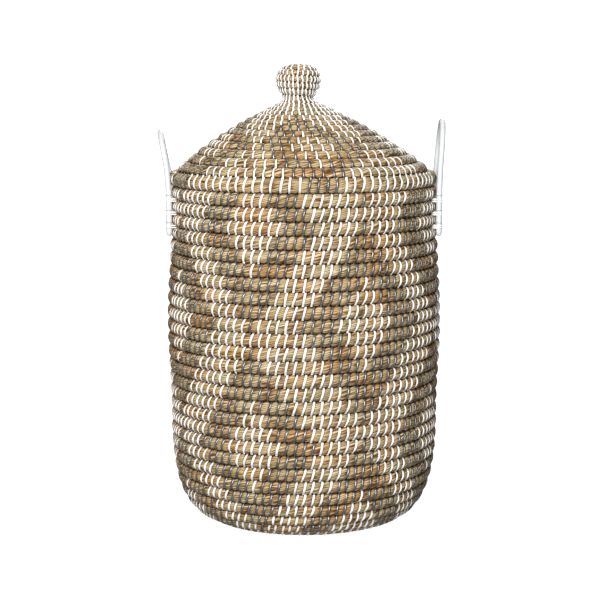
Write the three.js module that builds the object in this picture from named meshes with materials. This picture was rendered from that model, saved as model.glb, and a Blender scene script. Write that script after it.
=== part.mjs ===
// A lidded laundry hamper, coiled from a long bundle of seagrass. It has a low cone of a lid with
// a coiled knob, and two rope handles lashed to its wall. Sizes are in millimetres and +Z is up.
// The origin is on the ground under the middle of the hamper, and its front looks along -Y.

import * as THREE from "three";

// Basket
const wallRadius = 197.5; // outside of the wall at the rim
const rimHeight = 501; // top of the wall
const bellyRadius = 205; // outside of the wall at its widest
const bellyHeight = 300; // where that is
const heelRadius = 200.5; // outside of the wall where the heel ends
const heelHeight = 150; // where the wall has become upright
const floorRadius = 122; // where the flat floor starts to turn up
const heelFullness = 0.7; // 0.55 is a quarter ellipse, and more is squarer
const bundleThickness = 18; // of the seagrass, through the wall
const floorRows = 9; // turns of the coil in the floor and where it starts to turn up
const heelRows = 8; // turns in the heel
const wallRows = 16; // turns in the wall
const levelRows = 6; // the topmost of these, which run level at the front
const blendRows = 6; // rows over which the even climb below turns into that
const rowGap = 0.8; // between one turn and the next
const seamShare = 0.12; // of a turn, on either side of the seam, that a level row climbs in
const jointGap = 0.6; // between two lengths of a coil, end to end
const curlRadius = 14; // of the folded end of the bundle that the coil starts around

// Lid
const lidOverhang = 1.5; // of the hoop, out past the wall that it rests on
const lidRadius = wallRadius + lidOverhang;
const hoopHeight = 20.5;
const hoopThickness = 17;
const coneHeight = 105; // from the top of the hoop to the waist under the knob
const coneSag = 6.5; // how far the cone bulges above a straight line
const coneBulge = 0.62; // where it does so most, as a share of the way down
const coneRows = 12; // turns of the coil in the cone
const coneThickness = 15; // of its outermost turn
const coneInset = 11; // from the outside of the hoop in to the cone's lower edge
const coneLift = 4; // from the top of the hoop up to that edge
const waistRadius = 24; // outside of the waist
const waistShare = 0.55; // of the outermost row's height and thickness, at the waist
const lidSeat = 0.3; // between the hoop and the rim it rests on
const lidShift = -2; // how far the lid sits off the basket's middle, along X
const collarDepth = 14; // of the ring under the lid, below the rim
const collarThickness = 10;
const collarClearance = 4; // between that ring and the wall
const collarSeam = 0.3; // between that ring and the cone it is sewn to

// Knob
const knobRadius = 34;
const knobHeight = 53; // from the waist to its top
const knobShoulder = 25; // from its top down to where it is widest
const knobNeck = 10; // from the waist up to where it starts to widen
const knobRows = 7; // turns of the coil in the knob
const knobShift = -7; // how far it stands off the lid's middle, along X
const leanDepth = 105; // of the part of the cone that leans over to it
const knobThickness = 7; // of its turns
const knobEye = 2; // radius of the eye that they close in on
const knobFullness = 0.7; // as heelFullness

// Handles
const ropeRadius = 4.2;
const ropeClearance = 0.3; // to what the rope is tied to
const legStandoff = 2.5; // of a leg from the top of the wall, past that clearance
const legSpan = 104; // between the middles of a handle's legs
const hingeDrop = 9; // of the line that a handle bends on, below the rim
const legTail = 12; // of a leg below its last lashing
const leftRise = 88; // of the left loop, from the line that it bends on to its rope's middle
const rightRise = 104; // of the right loop
const lashings = 3; // on each leg, one in each groove below the top turn
const lashingHeight = 4;
const lashingThickness = 0.9;
const handles = [
  { side: "left", turned: 180, lean: 10.5, rise: leftRise },
  { side: "right", turned: 0, lean: 4, rise: rightRise },
];

// Facets
const stepsPerTurn = 16;
const knobSteps = 8; // half of stepsPerTurn, so that the knob's corners meet the cone's
const ropeSides = 8;
const archSteps = 10;
const footAngles = [75, 45, 15]; // degrees of the rings on a loop's round ends
const seamAngle = 90; // degrees from +X to where the turns are counted from, at the back

const radians = THREE.MathUtils.degToRad;

const materials = {
  seagrass: new THREE.MeshStandardMaterial({ color: 0xb59263, roughness: 0.8, metalness: 0 }),
  wrappedRope: new THREE.MeshStandardMaterial({ color: 0xe6e8ea, roughness: 0.45, metalness: 0 }),
  plasticStrip: new THREE.MeshStandardMaterial({ color: 0xf2f2f0, roughness: 0.35, metalness: 0 }),
};

// Sections of a bundle, as [along the outline, outwards] in halves of its size. All have flats
// towards the neighbouring turns.
const hexagon = [[0, 1], [-1, 0.5], [-1, -0.5], [0, -1], [1, -0.5], [1, 0.5]];
const rectangle = [[-1, 1], [-1, -1], [1, -1], [1, 1]];
const ridge = [[0, 1], [-1, 0.4], [-1, -1], [1, -1], [1, 0.4]];

// A closed tube through rings of points. The rings have as many points each, which run
// counter-clockwise for an eye that looks back along the tube.
function tubeThroughRings(rings) {
  const sides = rings[0].length;
  const positions = rings.flat().flatMap((point) => [point.x, point.y, point.z]);
  const faces = [];
  for (let i = 0; i + 1 < rings.length; i++) {
    for (let j = 0; j < sides; j++) {
      const here = i * sides + j;
      const beside = i * sides + ((j + 1) % sides);
      faces.push(here, beside, beside + sides, here, beside + sides, here + sides);
    }
  }
  const last = (rings.length - 1) * sides;
  for (let j = 1; j + 1 < sides; j++) {
    faces.push(0, j + 1, j);
    faces.push(last, last + j, last + j + 1);
  }
  const geometry = new THREE.BufferGeometry();
  geometry.setAttribute("position", new THREE.Float32BufferAttribute(positions, 3));
  geometry.setIndex(faces);
  geometry.computeVertexNormals();
  return geometry;
}

// The outer face of something coiled: an outline, turned round the axis. outside is 1 where the
// outline has the outside on its right, and -1 where on its left.
class CoiledFace {
  constructor(outline, outside) {
    this.outline = outline;
    this.outside = outside;
    this.length = outline.getLength();
  }

  // Radius and height of the point s along the outline and in behind it.
  at(s, behind) {
    const u = THREE.MathUtils.clamp(s / this.length, 0, 1);
    const point = this.outline.getPointAt(u);
    const along = this.outline.getTangentAt(u).multiplyScalar(this.outside * behind);
    return new THREE.Vector2(point.x - along.y, point.y + along.x);
  }
}

// The climb of a coil. An even one goes on all the way round. A level one is half a row on either
// side of the seam at the back.
function rowsClimbed(turns, levelness) {
  const whole = Math.floor(turns);
  const share = turns - whole;
  const after = THREE.MathUtils.smoothstep(share, 0, seamShare);
  const before = THREE.MathUtils.smoothstep(share, 1 - seamShare, 1);
  return whole + THREE.MathUtils.lerp(share, (after + before) / 2, levelness);
}

// The rings of one unbroken coil on a face. edgeAt(turns) is how far along the outline the coil's
// first edge lies, and its other edge is where the first will be a turn later, or at the end of
// the outline if that comes before.
function coilRings({ face, edgeAt, from, to, thickness, section, steps = stepsPerTurn,
  place = (point) => point }) {
  const turnsAt = [from];
  for (let i = Math.floor(from * steps) + 1; i < to * steps; i++) {
    turnsAt.push(i / steps);
  }
  turnsAt.push(to);
  return turnsAt.map((turns) => {
    const first = edgeAt(turns) + rowGap / 2;
    const second = Math.min(edgeAt(turns + 1) - rowGap / 2, face.length);
    const whole = edgeAt(turns + 1) - edgeAt(turns) - rowGap;
    const half = (thickness(turns) / 2) * Math.sqrt(Math.min(1, (second - first) / whole));
    const angle = radians(seamAngle) + 2 * Math.PI * turns;
    const ring = section.map(([along, out]) => {
      const s = (first + second) / 2 + ((second - first) / 2) * along;
      const spot = face.at(s, half * (1 - out));
      return place(new THREE.Vector3(spot.x * Math.cos(angle), spot.x * Math.sin(angle), spot.y));
    });
    return face.outside > 0 ? ring : ring.reverse();
  });
}

// The least distance between a turn's corners and those of the next.
function leastGap(rings, steps) {
  let least = Infinity;
  for (let i = 1; i + steps < rings.length - 1; i++) {
    for (const corner of rings[i]) {
      for (const other of rings[i + steps]) {
        least = Math.min(least, corner.distanceTo(other));
      }
    }
  }
  return least;
}

const hamper = new THREE.Group();

function add(name, geometry, material, group = hamper) {
  const mesh = new THREE.Mesh(geometry, material);
  mesh.name = name;
  group.add(mesh);
  return mesh;
}

function addCoil(name, coil) {
  const rings = coilRings(coil);
  const gap = leastGap(rings, coil.steps ?? stepsPerTurn);
  console.log(`${name}: least gap from turn to turn ${gap.toFixed(2)} mm`);
  add(name, tubeThroughRings(rings), materials.seagrass);
}

// A ring round the axis through a closed profile of [radius, height].
function addRing(name, profile, material, segments, group) {
  const points = [...profile, profile[0]].map(([radius, height]) => new THREE.Vector2(radius, height));
  const geometry = new THREE.LatheGeometry(points, segments);
  geometry.rotateX(Math.PI / 2);
  return add(name, geometry, material, group);
}

// The share of a turn that a length takes up at a radius.
function shareOfTurn(length, radius) {
  return length / (2 * Math.PI * radius);
}

// Basket: a flat floor, a rounded heel and an upright wall.
const basketOutline = new THREE.Path();
basketOutline.moveTo(curlRadius, 0);
basketOutline.lineTo(floorRadius, 0);
basketOutline.bezierCurveTo(
  floorRadius + heelFullness * (heelRadius - floorRadius), 0,
  heelRadius, heelHeight * (1 - heelFullness),
  heelRadius, heelHeight,
);
const swellHeight = (heelHeight + bellyHeight) / 2;
basketOutline.bezierCurveTo(
  heelRadius, swellHeight,
  bellyRadius, swellHeight,
  bellyRadius, bellyHeight,
);
basketOutline.bezierCurveTo(
  bellyRadius, THREE.MathUtils.lerp(bellyHeight, rimHeight, 0.35),
  wallRadius, THREE.MathUtils.lerp(bellyHeight, rimHeight, 0.5),
  wallRadius, rimHeight,
);
const basketFace = new CoiledFace(basketOutline, 1);

const basketRows = floorRows + heelRows + wallRows;
const rowHeight = basketFace.length / (basketRows + 0.5);
const levelFrom = basketRows - levelRows;
function basketEdge(turns) {
  const levelness = THREE.MathUtils.smoothstep(turns, levelFrom - blendRows, levelFrom);
  return rowHeight * rowsClimbed(turns, levelness);
}

const basketCoil = { face: basketFace, edgeAt: basketEdge, thickness: () => bundleThickness };
addCoil("floor_coil", {
  ...basketCoil,
  section: rectangle,
  from: 0,
  to: floorRows,
});
addCoil("heel_coil", {
  ...basketCoil,
  section: hexagon,
  from: floorRows + shareOfTurn(jointGap, floorRadius),
  to: floorRows + heelRows,
});
addCoil("wall_coil", {
  ...basketCoil,
  section: hexagon,
  from: floorRows + heelRows + shareOfTurn(jointGap, wallRadius),
  to: basketRows + seamShare / 2,
});

// The folded end of the bundle fills the spiral that the coil starts with.
const curlPoints = Array.from({ length: stepsPerTurn + 1 }, (_, i) => {
  const radius = curlRadius + (rowHeight * i) / stepsPerTurn - rowGap / 2;
  const back = i === stepsPerTurn ? shareOfTurn(rowGap, radius) : 0;
  const angle = radians(seamAngle) + 2 * Math.PI * (i / stepsPerTurn - back);
  return new THREE.Vector2(radius * Math.cos(angle), radius * Math.sin(angle));
});
const curlSides = { depth: bundleThickness, bevelEnabled: false };
add("floor_curl", new THREE.ExtrudeGeometry(new THREE.Shape(curlPoints), curlSides), materials.seagrass);

// Lid: a knob, a waist and a cone in one coil, on a hoop that rests on the rim. The outline runs
// from the middle of the knob's top down to the hoop.
const hoopFoot = rimHeight + lidSeat;
const hoopTop = hoopFoot + hoopHeight;
const waistZ = hoopTop + coneHeight;
const knobTop = waistZ + knobHeight;
const knobWidest = knobTop - knobShoulder;
const knobOutline = new THREE.Path();
knobOutline.moveTo(knobEye, knobTop);
knobOutline.bezierCurveTo(
  knobFullness * knobRadius, knobTop,
  knobRadius, knobTop - knobShoulder * (1 - knobFullness),
  knobRadius, knobWidest,
);
knobOutline.bezierCurveTo(
  knobRadius, (knobWidest + waistZ) / 2,
  waistRadius, waistZ + knobNeck,
  waistRadius, waistZ,
);

const coneFoot = new THREE.Vector2(lidRadius - coneInset, hoopTop + coneLift);
const coneTop = new THREE.Vector2(waistRadius, waistZ);
const coneSlope = coneFoot.clone().sub(coneTop).normalize();
const coneBelly = coneTop.clone().lerp(coneFoot, coneBulge);
coneBelly.add(new THREE.Vector2(-coneSlope.y, coneSlope.x).multiplyScalar(2 * coneSag));
const lidOutline = new THREE.CurvePath();
lidOutline.curves.push(
  ...knobOutline.curves,
  new THREE.QuadraticBezierCurve(coneTop, coneBelly, coneFoot),
);
const lidFace = new CoiledFace(lidOutline, -1);
const knobLength = knobOutline.getLength();
const coneLength = lidFace.length - knobLength;

// How many of the outermost row's height lie between the waist and the cone's row t.
function coneRowsTo(rows) {
  return waistShare * rows + ((1 - waistShare) * rows * rows) / (2 * coneRows);
}

function lidEdge(turns) {
  const lidRows = knobRows + coneRows;
  const levelness = THREE.MathUtils.smoothstep(turns, lidRows - blendRows, lidRows - 1);
  const rows = rowsClimbed(turns, levelness);
  if (rows < knobRows) {
    return (knobLength * rows) / knobRows;
  }
  return knobLength + (coneLength * coneRowsTo(rows - knobRows)) / coneRowsTo(coneRows + 0.5);
}

function lidThickness(turns) {
  const share = Math.max(0, (turns - knobRows) / coneRows);
  return turns < knobRows ? knobThickness : coneThickness * THREE.MathUtils.lerp(waistShare, 1, share);
}

// The knob stands off the lid's middle, and the cone leans over to it near the waist.
function ontoLid(point) {
  const lean = THREE.MathUtils.smoothstep(point.z, waistZ - leanDepth, knobWidest);
  return point.setX(point.x + lidShift + knobShift * lean);
}

const lidCoil = { face: lidFace, edgeAt: lidEdge, thickness: lidThickness, place: ontoLid };
addCoil("knob_coil", {
  ...lidCoil,
  section: ridge,
  from: 0,
  to: knobRows,
  steps: knobSteps,
});
addCoil("cone_coil", {
  ...lidCoil,
  section: hexagon,
  from: knobRows + shareOfTurn(jointGap, waistRadius),
  to: knobRows + coneRows + seamShare / 2,
});

const hoopProfile = hexagon.toReversed().map(([along, out]) => [
  lidRadius - (hoopThickness / 2) * (1 - out),
  hoopFoot + (hoopHeight / 2) * (1 + along),
]);
addRing("lid_hoop", hoopProfile, materials.seagrass, stepsPerTurn).position.setX(lidShift);

// The inside of the cone at a radius.
function underCone(radius) {
  let s = knobLength;
  while (lidFace.at(s, coneThickness).x < radius) {
    s += 0.5;
  }
  return lidFace.at(s, coneThickness).y;
}

const collarOuter = wallRadius - bundleThickness - collarClearance;
const collarInner = collarOuter - collarThickness;
const collarFoot = rimHeight - collarDepth;
const collarProfile = [
  [collarInner, collarFoot],
  [collarOuter, collarFoot],
  [collarOuter, underCone(collarOuter) - collarSeam],
  [collarInner, underCone(collarInner) - collarSeam],
];
addRing("lid_collar", collarProfile, materials.seagrass, stepsPerTurn).position.setX(lidShift);

// Handles: fixed legs lashed to the wall, and a loop that bends outwards above them.
const hingeZ = rimHeight - hingeDrop;
const legRadius = wallRadius + legStandoff + ropeClearance + ropeRadius;
const hingeX = Math.sqrt(legRadius ** 2 - (legSpan / 2) ** 2);
const legTurn = Math.asin(legSpan / 2 / legRadius);
const legTop = hingeZ - ropeRadius - ropeClearance;

// How far out the wall's flat faces lie, where its corners are at a radius.
function faceRadius(cornerRadius, angle) {
  const step = (2 * Math.PI) / stepsPerTurn;
  const fromCorner = THREE.MathUtils.euclideanModulo(angle - radians(seamAngle), step);
  return (cornerRadius * Math.cos(step / 2)) / Math.cos(fromCorner - step / 2);
}

// A lashing goes round its leg and into the groove between two turns of the wall.
const lashingSpots = Array.from({ length: lashings }, (_, i) => rimHeight - (i + 1) * rowHeight);
const legFoot = lashingSpots[lashings - 1] - lashingHeight / 2 - legTail;
const lashingInner = ropeRadius + ropeClearance;
const lashingOuter = lashingInner + lashingThickness;
const grooveDepth = bundleThickness / 4;
const grooveSlope = grooveDepth / ((rowHeight - rowGap) / 2);
const grooveFill = grooveSlope * (lashingHeight / 2 + ropeClearance - rowGap / 2);
function lashingReach(z) {
  const groove = basketFace.at(basketFace.length - (rimHeight - z), grooveDepth).x;
  const face = Math.max(...[-1, 1].map((way) =>
    faceRadius(groove, legTurn + (way * lashingOuter) / wallRadius)));
  return legRadius - face - grooveFill;
}

// An outline round a leg that reaches in towards the wall, with X pointing out of the wall.
function lashingOutline(radius, reach) {
  const points = [new THREE.Vector2(-reach, radius), new THREE.Vector2(-reach, -radius)];
  for (let i = 0; i <= ropeSides / 2; i++) {
    const angle = -Math.PI / 2 + (2 * Math.PI * i) / ropeSides;
    points.push(new THREE.Vector2(radius * Math.cos(angle), radius * Math.sin(angle)));
  }
  return points;
}

function lashingGeometry(reach) {
  const shape = new THREE.Shape(lashingOutline(lashingOuter, reach));
  shape.holes.push(new THREE.Path(lashingOutline(lashingInner, reach - lashingThickness)));
  const geometry = new THREE.ExtrudeGeometry(shape, { depth: lashingHeight, bevelEnabled: false });
  return geometry.translate(0, 0, -lashingHeight / 2);
}

// The middle of a loop's rope at a distance from its front foot, and the way that it runs there.
function alongLoop(distance, rise) {
  const half = legSpan / 2;
  const straight = rise - half;
  const round = THREE.MathUtils.clamp((distance - straight) / half, 0, Math.PI);
  const beyond = distance - straight - round * half;
  const way = new THREE.Vector3(0, Math.sin(round), Math.cos(round));
  const middle = new THREE.Vector3(0, -half * Math.cos(round), straight + half * Math.sin(round));
  return { middle: middle.addScaledVector(way, beyond), way };
}

// A rope loop with round ends, which stand on the line that it bends on.
function loopGeometry(rise) {
  const straight = rise - legSpan / 2;
  const archLength = (Math.PI * legSpan) / 2;
  const length = 2 * straight + archLength;
  const foot = footAngles.map(radians).map((angle) =>
    [ropeRadius * Math.sin(angle), ropeRadius * Math.cos(angle)]);
  const stations = foot.map(([beyond, radius]) => [-beyond, radius]);
  for (let i = 0; i <= archSteps; i++) {
    stations.push([straight + (archLength * i) / archSteps, ropeRadius]);
  }
  stations.push(...foot.toReversed().map(([beyond, radius]) => [length + beyond, radius]));
  const across = new THREE.Vector3(1, 0, 0);
  return tubeThroughRings(stations.map(([distance, radius]) => {
    const { middle, way } = alongLoop(distance, rise);
    const inwards = way.clone().cross(across);
    return Array.from({ length: ropeSides }, (_, i) => {
      const angle = (2 * Math.PI * i) / ropeSides;
      return middle.clone()
        .addScaledVector(across, radius * Math.cos(angle))
        .addScaledVector(inwards, radius * Math.sin(angle));
    });
  }));
}

// A leg on the handle's front or back, with its lashings, in a frame that faces out of the wall.
function addLeg(name, handle, way) {
  const place = new THREE.Group();
  place.position.set(hingeX, (way * legSpan) / 2, 0);
  place.rotation.z = way * legTurn;
  handle.add(place);
  const leg = new THREE.CylinderGeometry(ropeRadius, ropeRadius, legTop - legFoot, ropeSides);
  leg.rotateX(Math.PI / 2);
  add(name, leg, materials.wrappedRope, place).position.setZ((legTop + legFoot) / 2);
  lashingSpots.forEach((z, i) => {
    const geometry = lashingGeometry(lashingReach(z));
    const lashing = add(`${name}_lashing_${i + 1}`, geometry, materials.plasticStrip, place);
    lashing.position.setZ(z);
  });
}

for (const { side, turned, lean, rise } of handles) {
  const handle = new THREE.Group();
  handle.rotation.z = radians(turned);
  hamper.add(handle);
  const leaning = new THREE.Group();
  leaning.position.set(hingeX, 0, hingeZ);
  leaning.rotation.y = radians(lean);
  handle.add(leaning);
  add(`${side}_loop`, loopGeometry(rise), materials.wrappedRope, leaning);
  const front = turned === 0 ? -1 : 1;
  addLeg(`${side}_front_leg`, handle, front);
  addLeg(`${side}_back_leg`, handle, -front);
}

export default hamper;
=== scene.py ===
"""Looks of a lidded laundry hamper that is coiled from seagrass and sewn with plastic strip.

The hamper is an assembly. A bundle of dried seagrass is wound up from the floor to the rim, and
flat white and silver-grey strips sew each turn to the one before. The lid is a second coil, a
knob and a cone, on a hoop that rests on the rim. Two rope handles, wound with white strip, are
lashed to the wall. Sizes are in millimetres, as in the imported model, and meshes are in metres,
+Z up, with the front along -Y.
"""

import logging
import math
from dataclasses import dataclass, field
from enum import Enum
from typing import Callable, Sequence

import bpy
import numpy as np
from mathutils import Euler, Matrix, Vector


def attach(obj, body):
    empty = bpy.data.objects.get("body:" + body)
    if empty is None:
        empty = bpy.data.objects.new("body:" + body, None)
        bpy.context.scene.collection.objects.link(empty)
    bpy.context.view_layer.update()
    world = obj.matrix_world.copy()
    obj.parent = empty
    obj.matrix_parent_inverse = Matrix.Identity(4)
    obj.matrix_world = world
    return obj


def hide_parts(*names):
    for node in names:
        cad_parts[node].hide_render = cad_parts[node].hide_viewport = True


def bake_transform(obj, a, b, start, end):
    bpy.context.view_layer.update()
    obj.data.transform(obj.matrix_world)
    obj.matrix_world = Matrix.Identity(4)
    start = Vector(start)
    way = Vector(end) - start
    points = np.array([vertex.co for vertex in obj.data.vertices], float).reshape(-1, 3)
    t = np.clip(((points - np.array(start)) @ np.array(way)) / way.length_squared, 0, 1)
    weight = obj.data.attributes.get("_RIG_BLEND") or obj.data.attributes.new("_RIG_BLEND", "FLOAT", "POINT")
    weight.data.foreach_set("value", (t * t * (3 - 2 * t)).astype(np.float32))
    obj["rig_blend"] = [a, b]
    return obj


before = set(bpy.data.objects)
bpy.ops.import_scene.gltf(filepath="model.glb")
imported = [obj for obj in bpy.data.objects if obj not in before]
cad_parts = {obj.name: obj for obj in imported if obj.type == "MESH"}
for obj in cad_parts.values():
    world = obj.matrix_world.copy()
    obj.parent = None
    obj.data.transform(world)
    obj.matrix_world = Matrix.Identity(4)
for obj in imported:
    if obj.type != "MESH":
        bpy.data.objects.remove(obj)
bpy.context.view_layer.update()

log = logging.getLogger("hamper")

Array = np.ndarray
Socket = bpy.types.NodeSocket
Stops = tuple[tuple[float, str], ...]  # places on a ramp and their hex colours

MM = 0.001
FULL_TURN = 2 * math.pi
SEAM_ANGLE = math.pi / 2  # the turns are counted from the back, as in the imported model
FRONT_SHARE = 0.5  # of a turn from there, counter-clockwise seen from above


class Side(Enum):
    """The two sides of the hamper that carry a handle."""

    LEFT = -1
    RIGHT = 1


class Shade(Enum):
    """The two colours of the sewing strip."""

    WHITE = "white"
    GREY = "grey"


# Shapes


def smooth(value: Array, low: float, high: float) -> Array:
    """Ease from 0 at low to 1 at high, as 3x^2 - 2x^3 of the share x of the way."""
    share = np.clip((value - low) / (high - low), 0, 1)
    return share * share * (3 - 2 * share)


def stay(points: Array) -> Array:
    """Leave points where they are."""
    return points


def always(value: float) -> Callable[[Array], Array]:
    """A function of the turns that has one value."""
    return lambda turns: np.full(np.shape(turns), float(value))


def arch(angle: Array, power: float | Array) -> tuple[Array, Array]:
    """A squarish circle: sine and cosine, each to a power and with its own sign."""
    sine, cosine = np.sin(angle), np.cos(angle)
    return np.sign(sine) * np.abs(sine) ** power, np.sign(cosine) * np.abs(cosine) ** power


def bezier(corners: Sequence[Sequence[float]], count: int) -> Array:
    """Points on a Bezier curve, one to a row, at equal steps of t from 0 to 1.

    Each pair of neighbouring corners gives way to (1-t) times the one plus t times the other,
    until one point is left for each t.
    """
    share = np.linspace(0, 1, count)[:, None, None]
    points = np.asarray(corners, float)[None]
    while points.shape[1] > 1:
        points = (1 - share) * points[:, :-1] + share * points[:, 1:]
    return points[:, 0]


def climb(turns: Array, level: Array, seam: float) -> Array:
    """Rows that a coil has climbed: evenly all round, or where it is level, near its seam."""
    whole = np.floor(turns)
    share = turns - whole
    ramp = (smooth(share, 0, seam) + smooth(share, 1 - seam, 1)) / 2
    return whole + share + (ramp - share) * level


class Outline:
    """The outer outline of something coiled, as points of radius and height."""

    def __init__(self, points: Array, outside: int) -> None:
        """Measure it. Outside is 1 where its outer side is on its right, and -1 on its left."""
        lengths = np.hypot(*np.diff(points, axis=0).T)
        apart = lengths > 1e-9
        self.points = points[np.concatenate([[True], apart])]
        self.outside = outside
        self.distances = np.concatenate([[0], np.cumsum(lengths[apart])])
        self.length = float(self.distances[-1])
        self.ways = np.gradient(self.points, self.distances, axis=0)
        self.ways /= np.hypot(*self.ways.T)[:, None]

    def at(self, distance: Array, behind: Array) -> tuple[Array, Array]:
        """Radius and height of points on the outline and in behind it.

        The point is the outline's at that distance, gone on straight past its ends, less the
        outward normal times how far behind it lies.

        Args:
            distance: How far along the outline.
            behind: How far in from it.

        Returns:
            The radii and the heights.
        """
        inside = np.clip(distance, 0, self.length)
        spot = [np.interp(inside, self.distances, self.points[:, i]) for i in (0, 1)]
        way = [np.interp(inside, self.distances, self.ways[:, i]) for i in (0, 1)]
        past = distance - inside
        inwards = self.outside * behind
        radius = spot[0] + way[0] * past - way[1] * inwards
        height = spot[1] + way[1] * past + way[0] * inwards
        return radius, height


# Meshes


@dataclass
class Skin:
    """Faces of a mesh and what each of their corners carries."""

    points: Array  # one to a row
    faces: list[Array]  # arrays of faces, each with one count of corners
    uvs: list[Array]  # the same shape with a last axis of two
    flat: list[bool]  # whether the array's faces are flat, as an end is
    attributes: dict[str, Array] = field(default_factory=dict)  # one number to a point

    def build(self, name: str, material: bpy.types.Material) -> bpy.types.Object:
        """Make the mesh object, in metres and with its place in its mesh, and link it."""
        mesh = bpy.data.meshes.new(name)
        mesh.vertices.add(len(self.points))
        mesh.vertices.foreach_set("co", (self.points * MM).astype(np.float32).ravel())
        corners = np.concatenate([faces.ravel() for faces in self.faces])
        sizes = np.concatenate([np.full(len(faces), faces.shape[1]) for faces in self.faces])
        rounded = [np.full(len(faces), not flat) for faces, flat in zip(self.faces, self.flat)]
        mesh.loops.add(len(corners))
        mesh.loops.foreach_set("vertex_index", corners.astype(np.int32))
        mesh.polygons.add(len(sizes))
        starts = np.concatenate([[0], np.cumsum(sizes)[:-1]])
        mesh.polygons.foreach_set("loop_start", starts.astype(np.int32))
        mesh.update(calc_edges=True)
        mesh.polygons.foreach_set("use_smooth", np.concatenate(rounded))
        layer = mesh.uv_layers.new(name="bundle")
        uvs = np.concatenate([uv.reshape(-1, 2) for uv in self.uvs])
        layer.data.foreach_set("uv", uvs.astype(np.float32).ravel())
        for title, values in self.attributes.items():
            attribute = mesh.attributes.new(title, "FLOAT", "POINT")
            attribute.data.foreach_set("value", values.astype(np.float32))
        mesh.materials.append(material)
        piece = bpy.data.objects.new(name, mesh)
        bpy.context.scene.collection.objects.link(piece)
        return piece


def tube_skin(grid: Array, along: Array, across: Array, closed: bool, turned: bool) -> Skin:
    """The skin of a tube, or of many alike, through rings of points.

    Args:
        grid: Points, with axes of tube, ring and side, and x, y, z.
        along: The u of each ring of each tube, in metres.
        across: The v of each side and of the first side again, in metres.
        closed: Whether the last ring joins the first.
        turned: Whether the faces run the other way round.

    Returns:
        The skin, with flat ends where it isn't closed.
    """
    index = np.arange(math.prod(grid.shape[:3])).reshape(grid.shape[:3])
    here = index if closed else index[:, :-1]
    there = np.roll(index, -1, axis=1) if closed else index[:, 1:]
    quads = np.stack(
        [here, there, np.roll(there, -1, axis=2), np.roll(here, -1, axis=2)], axis=-1
    )
    if closed:
        along = np.append(along, 2 * along[:, -1:] - along[:, -2:-1], axis=1)
    borders = (along[:, :-1, None], along[:, 1:, None], across[:-1], across[1:])
    u_here, u_there, v_here, v_there = (np.broadcast_to(b, here.shape) for b in borders)
    u = np.stack([u_here, u_there, u_there, u_here], axis=-1)
    v = np.stack([v_here, v_here, v_there, v_there], axis=-1)
    faces, flat = [quads.reshape(-1, 4)], [False]
    uvs = [np.stack([u, v], axis=-1).reshape(-1, 4, 2)]
    if not closed:
        ends = np.concatenate([index[:, 0], index[:, -1, ::-1]])
        faces.append(ends)
        uvs.append(np.zeros((*ends.shape, 2)))
        flat.append(True)
    if turned:
        faces = [array[:, ::-1] for array in faces]
        uvs = [array[:, ::-1] for array in uvs]
    return Skin(grid.reshape(-1, 3), faces, uvs, flat)


# Sewn bundles

# Shares of the way from one strip to the next at which a bundle has a column of points, and the
# angles of a column's points: nine outside, from its first edge to its last, and five inside.
BAY = np.array([0, 0.14, 0.32, 0.5, 0.68, 0.86])
AROUND = np.append(
    np.linspace(-math.pi / 2, math.pi / 2, 9), np.linspace(math.pi / 2, 3 * math.pi / 2, 7)[1:-1]
)
PINCH = 2.6  # how far from a strip the bundle is still pulled in
WAVES = np.array([3.1, 7.7, 17.3, 31.9, 47.1])  # to a turn, that make a bundle uneven
WAVE_DEPTH = 0.5
GRAIN_STEP = 1300  # how far the blades are moved on, for each turn that a piece starts at
LEAN_RADIUS = 6  # nearer to the axis than this, a strip leans no more than there
END_ROOM = 0.2  # of the way to the next strip, without a strip at a bundle's ends
# These three set the painted shade that darkens the seagrass in its seams and beside its strips.
EDGE_FADE = 0.03  # of a turn, in which an open edge goes over into a seam
SEAM_SHADE_SPREAD = 0.16  # how much wider the crease of a seam is at a strip
STRIP_SHADE = (0.7, 0.32)  # a crease's depth far from a strip, and how much more at it

# The points of a strip. Outside, its first rows lie in the turn before, at shares along the band
# and outwards, and the others at degrees round the section, as all of them do inside.
STRIP_ROOT = ((-1.18, -1.09, -1.0), (0.26, 0.42, 0.4))
STRIP_OUTSIDE = (-64, -46, -26, -5, 16, 38, 61, 90)
STRIP_INSIDE = (96, 122, 150, 180, 210, 238, 264)
STRIP_SPREAD = np.array([-0.5, -0.4, 0, 0.4, 0.5])  # of its width, where it has points
STRIP_ARCH = np.array([0, 0.76, 1, 0.76, 0])  # of its rise, there
STRIP_GIRTH = np.array([0, 0.2, 0.5, 0.8, 1, 1.9])  # of its width, along its section
STRIP_SINK = 0.18  # of its rise that is left in a seam
STRIP_WIDTHS = (0.9, 1.08)  # of its width, from the narrowest to the widest
STRIP_SWAY = 0.9  # how far either end stands off at most
STRIP_BEND = 9.5  # radius of its way round the bundle
STRIP_ROOM = 0.75  # of its full thickness, that a bundle still has where it is sewn

CURL_STEPS = 48  # points round the folded end of a bundle


@dataclass
class Sewing:
    """How a bundle is sewn: how many strips each turn has and where they stand."""

    count: Callable[[int], int]  # strips in a turn
    anchor: Callable[[int], float]  # share of a turn where one of them stands
    grey: Callable[[int, Array], Array]  # whether the strips of a turn at some shares are grey
    width: float = 3.8
    rise: float = 2.1  # how proud of the bundle a strip stands
    lean: float = 5.0  # how much further round its second end lies than its first
    grip: float = 1.7  # how far a strip pulls the bundle in
    jitter: float = 0.06  # of the way to the next strip, that one may stand off


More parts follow.
